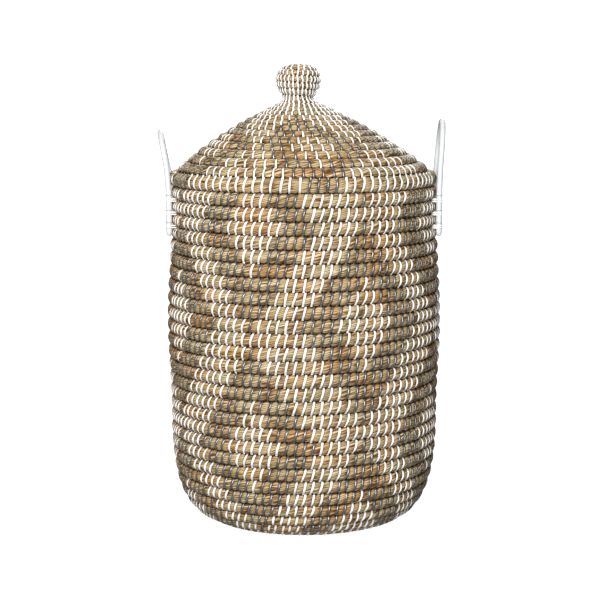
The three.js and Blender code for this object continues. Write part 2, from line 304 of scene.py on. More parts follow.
@dataclass
class Bundle:
    """One unbroken length of sewn seagrass, wound on an outline.

    A point of it lies at a turn (its angle), at a share along the band that the turn covers on
    the outline, and at a share outwards across its thickness. Its section is an ellipse where a
    strip holds it, and swells to a squarer one between the strips.
    """

    outline: Outline
    thickness: Callable[[Array], Array]
    sewing: Sewing
    first: float
    last: float
    edge: Callable[[Array], Array] = stay  # its first edge's place on the outline, at a turn
    place: Callable[[Array], Array] = stay
    seed: int = 1
    squareness: float = 0.86  # the power of its section between strips: under them it is 1
    bare: tuple[bool, bool] = (True, True)  # whether its first and last edges are in the open
    ring = False

    def band(self, turns: Array) -> tuple[Array, Array, Array]:
        """Where the bundle lies on the outline at some turns.

        Args:
            turns: The turns.

        Returns:
            The middle of its band, half of its width and half of its thickness. Where it runs
            out at the end of the outline, the thickness shrinks as the root of the width.
        """
        start = self.edge(turns)
        whole = self.edge(turns + 1) - start
        width = np.clip(np.minimum(start + whole, self.outline.length) - start, 0.01, None)
        half = self.thickness(turns) / 2 * np.sqrt(np.clip(width / whole, 0, 1))
        return start + width / 2, width / 2, half

    def locate(self, turns: Array, along: Array, out: Array, lift: Array | float = 0) -> Array:
        """Points of the bundle.

        The turn is moved on by the strips' lean times the share along, so that the bundle's
        grid runs with its strips.

        Args:
            turns: Where the points lie, in turns.
            along: Shares of half the band, from -1 at its first edge to 1.
            out: Shares of half the thickness, from -1 inside to 1 outside.
            lift: How much further out they lie.

        Returns:
            The points.
        """
        turns, along, out = np.broadcast_arrays(turns, along, out)
        middle, _, _ = self.band(turns)
        radius, _ = self.outline.at(middle, np.zeros_like(middle))
        round_there = FULL_TURN * np.maximum(radius, LEAN_RADIUS)
        leaned = turns + self.sewing.lean / 2 * along / round_there
        middle, wide, half = self.band(leaned)
        radius, height = self.outline.at(middle + wide * along, half * (1 - out) - lift)
        angle = SEAM_ANGLE + FULL_TURN * leaned
        return self.place(np.stack([radius * np.cos(angle), radius * np.sin(angle), height], -1))

    def strips(self) -> tuple[Array, Array]:
        """Where the strips stand: their turns in order, and whether each is grey."""
        turns, greys = [], []
        for turn in range(math.floor(self.first), math.ceil(self.last)):
            count = self.sewing.count(turn)
            offset = (self.sewing.anchor(turn) * count) % 1
            shares = (np.arange(count) + offset) / count
            turns.append(turn + shares)
            greys.append(self.sewing.grey(turn, shares))
        at, grey = np.concatenate(turns), np.concatenate(greys)
        gap = np.gradient(at)
        spread = np.random.default_rng(self.seed).uniform(-1, 1, len(at))
        at = at + spread * self.sewing.jitter * gap
        if not self.ring:
            inside = (at > self.first + END_ROOM * gap) & (at < self.last - END_ROOM * gap)
            at, grey = at[inside], grey[inside]
        return at, grey

    def shade_in_creases(self, turns: Array, along: Array, pull: Array) -> Array:
        """How much painted shade its points get: from 0.8, where it starts, to 1, where it is darkest.

        Shade is painted into the seam with the next row and into the line beside a strip, where
        real shade falls. The edges that lie in the open, along the first turn and the last, get none.

        Args:
            turns: The columns' turns.
            along: The points' shares along the band, a row for each column.
            pull: How near a strip each column is, from 0 to 1.

        Returns:
            The depths, which set its painted shade.
        """
        ends = ((self.first + 1 - turns) / EDGE_FADE, (turns - self.last + 1) / EDGE_FADE)
        near, far = (
            np.full(len(turns), float(bare)) if self.ring else np.clip(end, 0, 1) * bare
            for end, bare in zip(ends, self.bare)
        )
        sewn = 1 - np.where(along < 0, near[:, None], far[:, None])
        seams = (np.abs(along) + SEAM_SHADE_SPREAD * pull[:, None]) * sewn
        return np.maximum(seams, STRIP_SHADE[0] + STRIP_SHADE[1] * pull[:, None])

    def surface(self, start: float, end: float) -> Skin:
        """The bundle's own surface from one turn to another.

        A column's section is pulled in by the strips' grip times exp(-(d / 2.6 mm)^2), where d
        is its distance from the nearest strip. The same number takes the power of its section
        from the squareness to 1, and slow random waves make the bundle uneven.

        Args:
            start: Turn that it starts at.
            end: Turn that it ends at.

        Returns:
            The skin, with u along the bundle and v round it.
        """
        posts = np.concatenate([[self.first], self.strips()[0], [self.last]])
        gaps = np.diff(posts)[:, None]
        bays = (posts[:-1, None] + BAY * gaps).ravel()
        between = bays[(bays > start) & (bays < end)]
        columns = np.concatenate([[start], between, [] if self.ring else [end]])
        away = np.interp(columns, bays, (np.minimum(BAY, 1 - BAY) * gaps).ravel())
        middle, wide, half = self.band(columns)
        radius, _ = self.outline.at(middle, half)
        pull = np.exp(-((away * FULL_TURN * radius / PINCH) ** 2))
        rates = np.round(WAVES) if self.ring else WAVES
        phase = np.random.default_rng(self.seed + 7).uniform(0, FULL_TURN, len(WAVES))
        wave = np.sin(FULL_TURN * columns[:, None] * rates + phase).mean(axis=1)
        along, out = arch(AROUND, 1 + (self.squareness - 1) * (1 - pull[:, None]))
        squeeze = (1 - (self.sewing.grip * pull - WAVE_DEPTH * wave) / half)[:, None]
        shown = np.where(out > 0, out * squeeze, out * (1 + squeeze) / 2)
        swell = 1.05 - 0.1 * pull[:, None]
        grid = self.locate(columns[:, None], along * swell, shown)
        run = np.concatenate([[0], np.cumsum(np.diff(columns) * FULL_TURN * radius[1:])])
        run += GRAIN_STEP * start
        girth = math.pi * (wide.mean() + half.mean()) * MM
        across = np.append(AROUND, 3 * math.pi / 2) / FULL_TURN * girth * self.outline.outside
        skin = tube_skin(
            grid[None], run[None] * MM, across, self.ring, self.outline.outside < 0
        )
        # Painted shade: how dark the seagrass is painted in its seams and beside its strips.
        skin.attributes["groove"] = self.shade_in_creases(columns, along, pull).ravel()
        return skin

    def strip_skin(self, grey: bool, inside: bool) -> Skin:
        """The strips of one colour, on the outside or the inside of the bundle.

        Outside, a strip comes out of the turn before, crosses the seam, goes over the bundle and
        down into the next seam. Inside, it goes back from seam to seam. Its section is a low
        arch of four flats, which smooth shading rounds.

        Args:
            grey: Whether the grey ones are wanted.
            inside: Whether the inside ones are wanted.

        Returns:
            The skin of all of them.
        """
        posts, greys = self.strips()
        half, full = self.band(posts)[2], self.band(posts - 0.5)[2]
        keep = (greys == grey) & (half > STRIP_ROOM * full)
        posts, half = posts[keep], half[keep]
        random = np.random.default_rng(self.seed + 3 + 2 * grey + inside)
        along, out = arch(np.radians(STRIP_INSIDE if inside else STRIP_OUTSIDE), 1)
        if not inside:
            along, out = np.append(STRIP_ROOT[0], along), np.append(STRIP_ROOT[1], out)
        face = -1 if inside else 1
        squeeze = 1 - self.sewing.grip / half * (0.5 if inside else 1)
        proud = self.sewing.rise * (STRIP_SINK + (1 - STRIP_SINK) * out.clip(0, 1) ** 2)
        lifts = proud[:, None] * STRIP_ARCH * face
        widths = self.sewing.width * random.uniform(*STRIP_WIDTHS, len(posts))
        middle, _, _ = self.band(posts)
        radius, _ = self.outline.at(middle, np.zeros_like(middle))
        sway = random.uniform(-STRIP_SWAY, STRIP_SWAY, len(posts))[:, None] * along
        aside = widths[:, None, None] * STRIP_SPREAD * face + sway[:, :, None]
        turns = posts[:, None, None] + aside / (FULL_TURN * radius[:, None, None])
        shown = out[None, :, None] * squeeze[:, None, None]
        grid = self.locate(turns, along[None, :, None], shown, lifts[None])
        run = np.linspace(0, 1, len(along)) * math.pi * STRIP_BEND * MM
        run = run + random.uniform(0, 1, len(posts))[:, None]
        across = STRIP_GIRTH * self.sewing.width * MM
        skin = tube_skin(grid, run, across, False, (self.outline.outside > 0) != inside)
        tone = random.uniform(0, 1, len(posts))
        skin.attributes["tone"] = np.repeat(tone, len(along) * len(STRIP_SPREAD))
        return skin


@dataclass
class Ring(Bundle):
    """A bundle that closes on itself, and covers the whole of its outline."""

    ring = True

    def band(self, turns: Array) -> tuple[Array, Array, Array]:
        """Its middle, half of its width and half of its thickness, the same at any turn."""
        half = np.full(np.shape(turns), self.outline.length / 2)
        return half, half, self.thickness(turns) / 2


def curled_end(reach: Array, low: float, high: float) -> Skin:
    """The folded end of a bundle, a low disc that fills the first turn of its coil.

    Its section is a squarish arch.

    Args:
        reach: How far its rim lies from the axis, at equal steps of a turn from the seam.
        low: Height of its underside.
        high: Height of its top.

    Returns:
        The skin, with the attributes of a bundle's.
    """
    turns = np.arange(len(reach)) / len(reach)
    around = np.linspace(0, math.pi, 11)
    out, up = arch(around, 0.6)
    angle = SEAM_ANGLE + FULL_TURN * turns[:, None]
    radius = np.maximum(reach[:, None] * out, 0.02)
    height = np.broadcast_to(low + (high - low) / 2 * (1 + up), radius.shape)
    grid = np.stack([radius * np.cos(angle), radius * np.sin(angle), height], axis=-1)
    across = np.append(around, around[-1]) * 0.01
    skin = tube_skin(grid[None], turns[None] * 0.08, across, True, True)
    # Painted shade, darker towards the disc's rim, where it meets the first turn.
    skin.attributes["groove"] = np.tile(np.abs(out) ** 3 * 0.9, len(turns))
    return skin


# Finishes


def linear(colour: str) -> tuple[float, float, float, float]:
    """A colour's linear values, and 1, from its sRGB hex.

    Each channel c is c / 12.92 up to 0.04045 and ((c + 0.055) / 1.055)^2.4 above.
    """
    channels = [int(colour[i : i + 2], 16) / 255 for i in (0, 2, 4)]
    return *(c / 12.92 if c <= 0.04045 else ((c + 0.055) / 1.055) ** 2.4 for c in channels), 1.0


def add_node(
    tree: bpy.types.NodeTree,
    kind: str,
    settings: dict[str, object] | None = None,
    inputs: dict[str | int, object] | None = None,
) -> bpy.types.Node:
    """Add a node with its settings, and give its inputs a value or a link.

    Args:
        tree: Where it goes.
        kind: Its type, without ShaderNode.
        settings: Its own properties.
        inputs: For each socket's name or number, a value or another node's output.

    Returns:
        The node.
    """
    node = tree.nodes.new(f"ShaderNode{kind}")
    for name, value in (settings or {}).items():
        setattr(node, name, value)
    for name, value in (inputs or {}).items():
        if isinstance(value, Socket):
            tree.links.new(value, node.inputs[name])
        else:
            node.inputs[name].default_value = value
    return node


class Graph:
    """The nodes of one material. Each method adds a node and gives what comes out of it."""

    def __init__(self, name: str) -> None:
        """Start a material without nodes."""
        self.material = bpy.data.materials.new(name)
        self.material.use_nodes = True
        self.tree = self.material.node_tree
        self.tree.nodes.clear()

    def add(
        self,
        kind: str,
        output: str | int = 0,
        settings: dict[str, object] | None = None,
        inputs: dict[str | int, object] | None = None,
    ) -> Socket:
        """An output of any node, added by add_node."""
        return add_node(self.tree, kind, settings, inputs).outputs[output]

    def uv(self) -> Socket:
        """The UV map, in metres."""
        return self.add("UVMap", "UV", {"uv_map": "bundle"})

    def attribute(self, name: str) -> Socket:
        """The number that the mesh carries under a name."""
        return self.add("Attribute", "Fac", {"attribute_name": name})

    def stretch(
        self,
        place: Socket,
        size: tuple[float, float],
        turn: float = 0,
        shift: tuple[float, float] = (0, 0),
    ) -> Socket:
        """A place in units of a length and a width, turned in degrees and shifted in metres."""
        inputs = {
            "Vector": place,
            "Location": (*shift, 0),
            "Rotation": (0, 0, math.radians(turn)),
            "Scale": (size[0] * MM, size[1] * MM, 1),
        }
        return self.add("Mapping", 0, {"vector_type": "TEXTURE"}, inputs)

    def noise(
        self, place: Socket, detail: float, roughness: float = 0.5, scale: float | None = None
    ) -> Socket:
        """Noise from 0 to 1: in a plane at scale 1, or in space where a scale is given."""
        settings = {"noise_dimensions": "3D" if scale else "2D"}
        inputs = {
            "Vector": place, "Scale": scale or 1, "Detail": detail, "Roughness": roughness
        }
        return self.add("TexNoise", "Fac", settings, inputs)

    def cells(self, place: Socket, feature: str, output: str) -> Socket:
        """An output of a pattern of uneven cells, about one to a unit."""
        settings = {"voronoi_dimensions": "2D", "feature": feature}
        inputs = {"Vector": place, "Scale": 1, "Randomness": 0.8}
        return self.add("TexVoronoi", output, settings, inputs)

    def mix(self, share: Socket, first: object, second: object, kind: str = "RGBA") -> Socket:
        """A mix of two colours, or of two numbers where the kind is FLOAT."""
        one, two, out = {"RGBA": (6, 7, 2), "FLOAT": (2, 3, 0)}[kind]
        inputs = {"Factor": share, one: first, two: second}
        return self.add("Mix", out, {"data_type": kind}, inputs)

    def remap(
        self,
        value: Socket,
        source: tuple[float, float],
        target: tuple[float, float] = (0, 1),
        eased: bool = False,
    ) -> Socket:
        """A number moved from one range to another and held in it."""
        settings = {"interpolation_type": "SMOOTHSTEP" if eased else "LINEAR"}
        names = ("From Min", "From Max", "To Min", "To Max")
        inputs = {"Value": value, **dict(zip(names, (*source, *target)))}
        return self.add("MapRange", 0, settings, inputs)

    def work_out(self, operation: str, *values: object) -> Socket:
        """The result of an operation on numbers."""
        return self.add("Math", 0, {"operation": operation}, dict(enumerate(values)))

    def ramp(self, value: Socket, stops: Stops) -> Socket:
        """The colour that a ramp has at a number."""
        node = add_node(self.tree, "ValToRGB", None, {0: value})
        elements = node.color_ramp.elements
        while len(elements) < len(stops):
            elements.new(0.5)
        for element, (place, colour) in zip(elements, stops):
            element.position = place
            element.color = linear(colour)
        return node.outputs[0]

    def relief(self, height: Socket, strength: float, depth: float) -> Socket:
        """The normal of a surface in relief, from its height."""
        inputs = {"Height": height, "Strength": strength, "Distance": depth * MM}
        return self.add("Bump", 0, None, inputs)

    def finish(self, inputs: dict[str, object]) -> bpy.types.Material:
        """End in a surface, and give the material."""
        surface = self.add("BsdfPrincipled", 0, None, inputs)
        add_node(self.tree, "OutputMaterial", None, {"Surface": surface})
        return self.material


@dataclass(frozen=True)
class Seagrass:
    """Dried seagrass, twisted into a bundle.

    The blades are a few tenths of a millimetre thick and fold to ridges about 2.5 mm wide, silky
    and uneven in colour from straw to olive and rust, with dark gaps between them. They run
    along the bundle and climb it by its twist. In patches, others cross them at a flatter angle.
    In the seams and beside the strips its colour is darkened as painted shade.
    """

    name: str = "seagrass, dried and twisted"
    twist: float = 14.0  # degrees between the blades and the bundle
    blade: tuple[float, float] = (60, 2.6)  # length and width
    crossing: tuple[float, float] = (42, 2.08)  # of the blades in the patches
    crossing_twist: float = 4.9
    crossing_shift: tuple[float, float] = (0.37, 0.11)  # in metres, off the blades
    fibre: tuple[float, float] = (22, 0.8)  # real ones are finer, and drawn this coarse to show
    patch: tuple[float, float] = (70, 9)
    lot: tuple[float, float] = (85, 40)  # of blades alike in colour
    fibre_share: float = 2.3  # of the fibres in a tone, against 1 of the blade's own
    tones: tuple[float, float] = (0.36, 2.14)  # where the ramps start and end
    stray_share: float = 0.16  # of single blades in what is rust, against 1 of the lot
    rusty: tuple[float, float] = (0.51, 0.8)  # where rust starts, and where all is rust
    crossed: tuple[float, float] = (0.52, 0.56)  # the same for the patches
    gap: tuple[float, float] = (0.03, 0.21)  # from a blade's rim, where it is dark
    gap_light: float = 0.16  # that is left there
    # Painted shade in the seams and beside the strips: the depths at which it starts and is full, the light
    # left at its darkest, and powers that also deepen the blades' dark gaps.
    crease: tuple[float, float] = (0.8, 0.98)  # depths at which it darkens
    crease_light: float = 0.02
    darkening: tuple[float, float, float] = (0.88, 1.12, 1.5)  # powers, for red, green and blue
    ridge: float = 0.35  # how far a blade is rounded from its rim
    fibre_height: float = 0.5  # against 1 of the ridge
    relief: tuple[float, float] = (0.8, 0.5)  # strength and depth
    khaki: Stops = (
        (0.0, "61512f"), (0.2, "87734d"), (0.45, "9f8b60"),
        (0.7, "b5a37d"), (0.9, "c8b692"), (1.0, "d3c29f"),
    )
    rust: Stops = (
        (0.0, "6a4822"), (0.25, "936737"), (0.55, "ae834b"), (0.82, "c69c66"), (1.0, "d8b98a"),
    )
    roughness: float = 0.55
    specular: float = 0.3

    def make(self) -> bpy.types.Material:
        """Make the material. It reads the bundle's UV map, in metres, and its attribute of painted shade."""
        graph = Graph(self.name)
        uv = graph.uv()
        fibre = graph.noise(graph.stretch(uv, self.fibre, self.twist), 3, 0.6)
        patch = graph.noise(graph.stretch(uv, self.patch, self.twist), 2)
        lot = graph.noise(graph.stretch(uv, self.lot), 1)
        places = (
            graph.stretch(uv, self.blade, self.twist),
            graph.stretch(uv, self.crossing, self.crossing_twist, self.crossing_shift),
        )
        over = graph.remap(patch, self.crossed)
        cell = graph.mix(over, *(graph.cells(place, "F1", "Color") for place in places))
        rims = (graph.cells(place, "DISTANCE_TO_EDGE", "Distance") for place in places)
        rim = graph.mix(over, *rims, "FLOAT")
        shade, stray, _ = add_node(graph.tree, "SeparateColor", None, {0: cell}).outputs
        tone = graph.work_out("MULTIPLY_ADD", fibre, self.fibre_share, shade)
        tone = graph.remap(tone, self.tones)
        warm = graph.work_out("MULTIPLY_ADD", stray, self.stray_share, lot)
        warm = graph.remap(warm, self.rusty)
        colour = graph.mix(warm, graph.ramp(tone, self.khaki), graph.ramp(tone, self.rust))
        gap = graph.remap(rim, self.gap, (self.gap_light, 1), True)
        # Painted shade: the colour darkens in the seams between rows and beside the strips.
        groove = graph.remap(graph.attribute("groove"), self.crease, (1, self.crease_light), True)
        light = graph.work_out("MULTIPLY", gap, groove)
        powers = [graph.work_out("POWER", light, power) for power in self.darkening]
        light = graph.add("CombineXYZ", 0, None, dict(enumerate(powers)))
        colour = graph.add("VectorMath", 0, {"operation": "MULTIPLY"}, {0: colour, 1: light})
        ridge = graph.remap(rim, (0, self.ridge), eased=True)
        height = graph.work_out("MULTIPLY_ADD", fibre, self.fibre_height, ridge)
        return graph.finish({
            "Base Color": colour,
            "Roughness": self.roughness,
            "Specular IOR Level": self.specular,
            "Normal": graph.relief(height, *self.relief),
        })


@dataclass(frozen=True)
class Strip:
    """Polypropylene strip, extruded flat and pulled tight over the bundle.

    It is smooth and glossy, with faint lines along it from the die. The grey one owes its sheen
    to flakes of metal in it.
    """

    name: str
    colour: str
    other: str  # what some strips incline to
    roughness: float
    metallic: float = 0.0
    refraction: float = 1.49
    line: tuple[float, float] = (8, 0.5)  # length and width
    relief: tuple[float, float] = (0.3, 0.03)  # strength and depth

    def make(self) -> bpy.types.Material:
        """Make the material. It reads the strip's UV map and its tone attribute."""
        graph = Graph(self.name)
        line = graph.noise(graph.stretch(graph.uv(), self.line), 2)
        tone = graph.attribute("tone")
        return graph.finish({
            "Base Color": graph.mix(tone, linear(self.colour), linear(self.other)),
            "Roughness": self.roughness,
            "Metallic": self.metallic,
            "IOR": self.refraction,
            "Normal": graph.relief(line, *self.relief),
        })


@dataclass(frozen=True)
class Thread:
    """Seagrass cord, two blades spun hard together, tied round the rope."""

    name: str = "seagrass cord, spun"
    colour: str = "bdb5a6"
    other: str = "9c9284"
    pitch: float = 1.2
    roughness: float = 0.8
    relief: tuple[float, float] = (0.6, 0.2)  # strength and depth

    def make(self) -> bpy.types.Material:
        """Make the material. It reads Object coordinates for its mottling."""
        graph = Graph(self.name)
        mottle = graph.noise(graph.add("TexCoord", "Object"), 3, scale=1 / (self.pitch * MM))
        return graph.finish({
            "Base Color": graph.mix(mottle, linear(self.colour), linear(self.other)),
            "Roughness": self.roughness,
            "Normal": graph.relief(mottle, *self.relief),
        })


class Finishes:
    """The materials of the hamper, made once."""

    def __init__(self) -> None:
        """Make them."""
        strip = "polypropylene strip, extruded"
        self.seagrass = Seagrass().make()
        self.strips = {
            Shade.WHITE: Strip(f"{strip}, white", "fbfbf9", "f1f1ee", 0.32).make(),
            Shade.GREY: Strip(f"{strip}, silver-grey", "6f7479", "888d92", 0.24, 0.65).make(),
        }
        self.rope = Strip(f"{strip}, white, wound on rope", "d3d6d8", "c9cdd0", 0.4).make()
        self.thread = Thread().make()


# Pieces


def add_piece(
    skin: Skin, name: str, material: bpy.types.Material, body: str, slot: str, *nodes: str
) -> None:
    """Make a piece, tie it to its body and hide the nodes that it stands for. Its slot is not used."""
    piece = skin.build(name, material)
    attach(piece, body)
    if nodes:
        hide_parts(*nodes)
    log.info("%s: %d faces on %s", piece.name, len(piece.data.polygons), body)


def sew(bundle: Bundle, title: str, body: str, finishes: Finishes) -> None:
    """Make a bundle's strips, in a piece for each side and colour that it has."""
    for inside, where in ((False, "out"), (True, "in")):
        for shade in Shade:
            skin = bundle.strip_skin(shade is Shade.GREY, inside)
            if len(skin.points):
                name = f"{title}_strips_{shade.value}_{where}"
                add_piece(skin, name, finishes.strips[shade], body, "plastic_strip")


# Basket


@dataclass
class Basket:
    """The basket: a floor, a heel and a wall in one coil, from the middle out and up."""

    wall_radius: float = 197.5  # at the rim
    rim_height: float = 501
    belly_radius: float = 205
    belly_height: float = 300
    heel_radius: float = 200.5
    heel_height: float = 150
    floor_radius: float = 122
    heel_fullness: float = 0.7
    draw_in_shares: tuple[float, float] = (0.35, 0.5)  # from belly to rim, of the bend's corners
    bundle_thickness: float = 18
    floor_rows: int = 9
    heel_rows: int = 8
    wall_rows: int = 16
    low_rows: int = 9  # of the wall, in its lower piece
    level_rows: int = 6
    blend_rows: int = 6
    seam_share: float = 0.12
    curl_radius: float = 14
    strips_per_turn: int = 100
    least_strips: int = 7
    plain_turns: int = 7  # in the floor, where a turn has fewer strips and no pattern
    floor_spacing: float = 11.5  # between the strips there
    # The pattern: share of a turn where a column stands, strips to a pair of columns, and for
    # each of the two how many strips it stands off and how many rows from the rim it crosses.
    column_share: float = 0.44028
    pair: int = 25
    columns: tuple[tuple[int, int], ...] = ((0, 11), (13, 2))
    diamond_rows: int = 16  # from one crossing to the next
    band_strips: int = 4

    def __post_init__(self) -> None:
        """Lay out the outline and the rows."""
        full, rim = self.heel_fullness, self.wall_radius
        floor, heel, belly = self.floor_radius, self.heel_radius, self.belly_radius
        middle = (self.heel_height + self.belly_height) / 2
        tall = self.rim_height - self.belly_height
        leave, arrive = (self.belly_height + share * tall for share in self.draw_in_shares)
        bent = (floor + full * (heel - floor), 0), (heel, self.heel_height * (1 - full))
        low, high = (heel, self.heel_height), (belly, self.belly_height)
        curves = [
            [(floor, 0), *bent, low],
            [low, (heel, middle), (belly, middle), high],
            [high, (belly, leave), (rim, arrive), (rim, self.rim_height)],
        ]
        flat = np.linspace((self.curl_radius, 0), (floor, 0), 200)
        self.outline = Outline(np.concatenate([flat, *(bezier(c, 500) for c in curves)]), 1)
        self.rows = self.floor_rows + self.heel_rows + self.wall_rows
        self.row_height = self.outline.length / (self.rows + 0.5)

    def edge(self, turns: Array) -> Array:
        """Where the coil's first edge lies on the outline at some turns."""
        level_from = self.rows - self.level_rows
        level = smooth(turns, level_from - self.blend_rows, level_from)
        return self.row_height * climb(turns, level, self.seam_share)

    def strips_in(self, turn: int) -> int:
        """How many strips a turn has: as many as fit in the floor, then the same for all."""
        if turn >= self.plain_turns:
            return self.strips_per_turn
        radius, _ = self.outline.at(np.array((turn + 0.5) * self.row_height), np.array(0.0))
        return max(self.least_strips, round(FULL_TURN * float(radius) / self.floor_spacing))

    def is_grey(self, turn: int, shares: Array) -> Array:
        """Whether strips are grey.

        The pattern has eight columns, alternately 13 and 12 strips apart. Along a column two
        bands of four strips cross every 16 rows. A strip is grey where its distance from the
        column's middle is at most one less than the rows to the nearest crossing, and at least
        four less.

        Args:
            turn: The turn that they are in.
            shares: Where in the turn they stand.

        Returns:
            Whether each is grey.
        """
        grey = np.zeros(len(shares), bool)
        if turn < self.plain_turns:
            return grey
        row, half = self.rows - turn, self.diamond_rows // 2
        strip = np.round((shares - self.column_share) * self.strips_per_turn) % self.pair
        for middle, crossing in self.columns:
            away = np.minimum((strip - middle) % self.pair, (middle - strip) % self.pair)
            rows = abs((row - crossing + half) % self.diamond_rows - half)
            grey |= (away <= rows - 1) & (away >= rows - self.band_strips)
        return grey

    def build(self, finishes: Finishes) -> None:
        """Make the bundle, its folded end in the middle of the floor, and its strips."""
        bundle = Bundle(
            outline=self.outline,
            edge=self.edge,
            thickness=always(self.bundle_thickness),
            sewing=Sewing(self.strips_in, lambda turn: self.column_share, self.is_grey),
            first=0,
            last=self.rows + self.seam_share / 2,
        )
        heel = self.floor_rows
        wall = heel + self.heel_rows
        high = wall + self.low_rows
        for name, start, end, node in (
            ("basket_floor", 0, heel, "floor_coil"),
            ("basket_heel", heel, wall, "heel_coil"),
            ("basket_wall_low", wall, high, "wall_coil"),
            ("basket_wall_high", high, bundle.last, "wall_coil"),
        ):
            skin = bundle.surface(start, end)
            add_piece(skin, name, finishes.seagrass, "basket", "seagrass", node)
        reach = self.curl_radius + self.row_height * np.arange(CURL_STEPS) / CURL_STEPS
        skin = curled_end(reach, 0, self.bundle_thickness)
        add_piece(skin, "basket_curl", finishes.seagrass, "basket", "seagrass", "floor_curl")
        sew(bundle, "basket", "basket", finishes)


# Lid


@dataclass
class Lid:
    """The lid: a knob, a waist and a cone in one coil, a hoop and the ring inside the rim."""

    rim_height: float = 501
    radius: float = 199
    hoop_height: float = 20.5
    hoop_thickness: float = 17
    cone_height: float = 105
    cone_sag: float = 6.5
    cone_bulge: float = 0.62
    cone_rows: int = 12
    cone_thickness: float = 15
    cone_inset: float = 11
    cone_lift: float = 4
    waist_radius: float = 24
    waist_share: float = 0.55
    seat: float = 0.3
    shift: float = -2
    collar_depth: float = 14
    collar_thickness: float = 10
    collar_outer: float = 175.5
    collar_top: float = 523  # a little way up into the cone
    collar_rows: int = 3
    collar_strips: int = 84
    knob_radius: float = 34
    knob_height: float = 53
    knob_shoulder: float = 25
    knob_neck: float = 10
    knob_rows: int = 7
    knob_shift: float = -7
    knob_spacing: float = 7.2  # between strips
    knob_strips: tuple[int, int] = (10, 29)  # in a turn, at least and at most
    lean_depth: float = 105
    knob_thickness: float = 8
    knob_eye: float = 2
    knob_fullness: float = 0.7
    blend_rows: int = 6
    seam_share: float = 0.12
    # Strips in each turn of the cone and in the hoop, and degrees from the front of the middle
    # column of the pattern, which drifts round as it comes down. The other columns stand 72
    # degrees from it and from each other.
    strips: tuple[int, ...] = (30, 34, 38, 42, 45, 48, 53, 57, 60, 62, 67, 82, 94)
    columns: tuple[float, ...] = (0, 0, 0, -4, -2.8, -1.5, 1.7, 4.6, 6.3, 8, 8.7, 7, 8.4)
    column_angle: float = 72
    # Strips from a column's middle where its grey ones start and end, row by row. None at first.
    # Where the end is a whole number, the column's middle is a strip, and else a gap.
    bands: tuple[tuple[float, float], ...] = (
        (1, 0), (1, 0), (1, 0), (0, 0), (0, 1), (0, 2), (1, 3), (2, 4), (3, 5), (2, 4), (1, 3),
        (0, 2.5), (0, 1.5),
    )

    def __post_init__(self) -> None:
        """Lay out the outline and the rows."""
        self.hoop_foot = self.rim_height + self.seat
        self.hoop_top = self.hoop_foot + self.hoop_height
        self.waist = self.hoop_top + self.cone_height
        self.top = self.waist + self.knob_height
        self.widest = self.top - self.knob_shoulder
        self.turns = self.knob_rows + self.cone_rows
        full, wide, narrow = self.knob_fullness, self.knob_radius, self.waist_radius
        bent = (full * wide, self.top), (wide, self.top - self.knob_shoulder * (1 - full))
        crown = [(self.knob_eye, self.top), *bent, (wide, self.widest)]
        middle, low = (wide, (self.widest + self.waist) / 2), (narrow, self.waist)
        neck = [(wide, self.widest), middle, (narrow, self.waist + self.knob_neck), low]
        top = np.array(low)
        foot = np.array([self.radius - self.cone_inset, self.hoop_top + self.cone_lift])
        slope = (foot - top) / np.hypot(*(foot - top))
        belly = top + (foot - top) * self.cone_bulge
        belly = belly + np.array([-slope[1], slope[0]]) * 2 * self.cone_sag
        knob = np.concatenate([bezier(crown, 300), bezier(neck, 300)])
        self.knob_length = Outline(knob, -1).length
        self.outline = Outline(np.concatenate([knob, bezier([top, belly, foot], 400)]), -1)
        self.cone_length = self.outline.length - self.knob_length

    def rows_to(self, rows: Array) -> Array:
        """How many of the outermost row's height lie between the waist and a row of the cone."""
        return self.waist_share * rows + (1 - self.waist_share) * rows**2 / (2 * self.cone_rows)

    def edge(self, turns: Array) -> Array:
        """Where the coil's first edge lies on the outline at some turns."""
        turns = np.asarray(turns, float)
        level = smooth(turns, self.turns - self.blend_rows, self.turns - 1)
        rows = climb(turns, level, self.seam_share)
        cone = self.rows_to(rows - self.knob_rows) / self.rows_to(self.cone_rows + 0.5)
        on_cone = self.knob_length + self.cone_length * cone
        return np.where(rows < self.knob_rows, self.knob_length * rows / self.knob_rows, on_cone)

    def thickness(self, turns: Array) -> Array:
        """The bundle's thickness, which grows down the cone."""
        share = np.clip((turns - self.knob_rows) / self.cone_rows, 0, None)
        grown = self.cone_thickness * (self.waist_share + (1 - self.waist_share) * share)
        ease = smooth(np.asarray(turns, float), self.knob_rows - 1, self.knob_rows + 0.5)
        return self.knob_thickness + (grown - self.knob_thickness) * ease

    def onto_lid(self, points: Array) -> Array:
        """Move points to the lid's middle, and lean what is near the waist over to the knob."""
        lean = smooth(points[..., 2], self.waist - self.lean_depth, self.widest)
        moved = points.copy()
        moved[..., 0] += self.shift + self.knob_shift * lean
        return moved

    def strips_in(self, turn: int) -> int:
        """How many strips a turn has."""
        row = turn - self.knob_rows
        if row >= 0:
            return self.strips[min(row, len(self.strips) - 1)]
        radius, _ = self.outline.at(self.edge(np.array(turn + 0.5)), np.array(0.0))
        fitting = round(FULL_TURN * float(radius) / self.knob_spacing)
        return int(np.clip(fitting, *self.knob_strips))

    def column(self, turn: int) -> float:
        """The share of a turn where the middle column stands."""
        row = turn - self.knob_rows
        return FRONT_SHARE + (self.columns[row] if 0 <= row < len(self.columns) else 0) / 360

    def anchor(self, turn: int) -> float:
        """The share of a turn where a strip stands, on the middle column or just before it."""
        row = turn - self.knob_rows
        shift = self.bands[row][1] % 1 if 0 <= row < len(self.bands) else 0
        return self.column(turn) - shift / self.strips_in(turn)

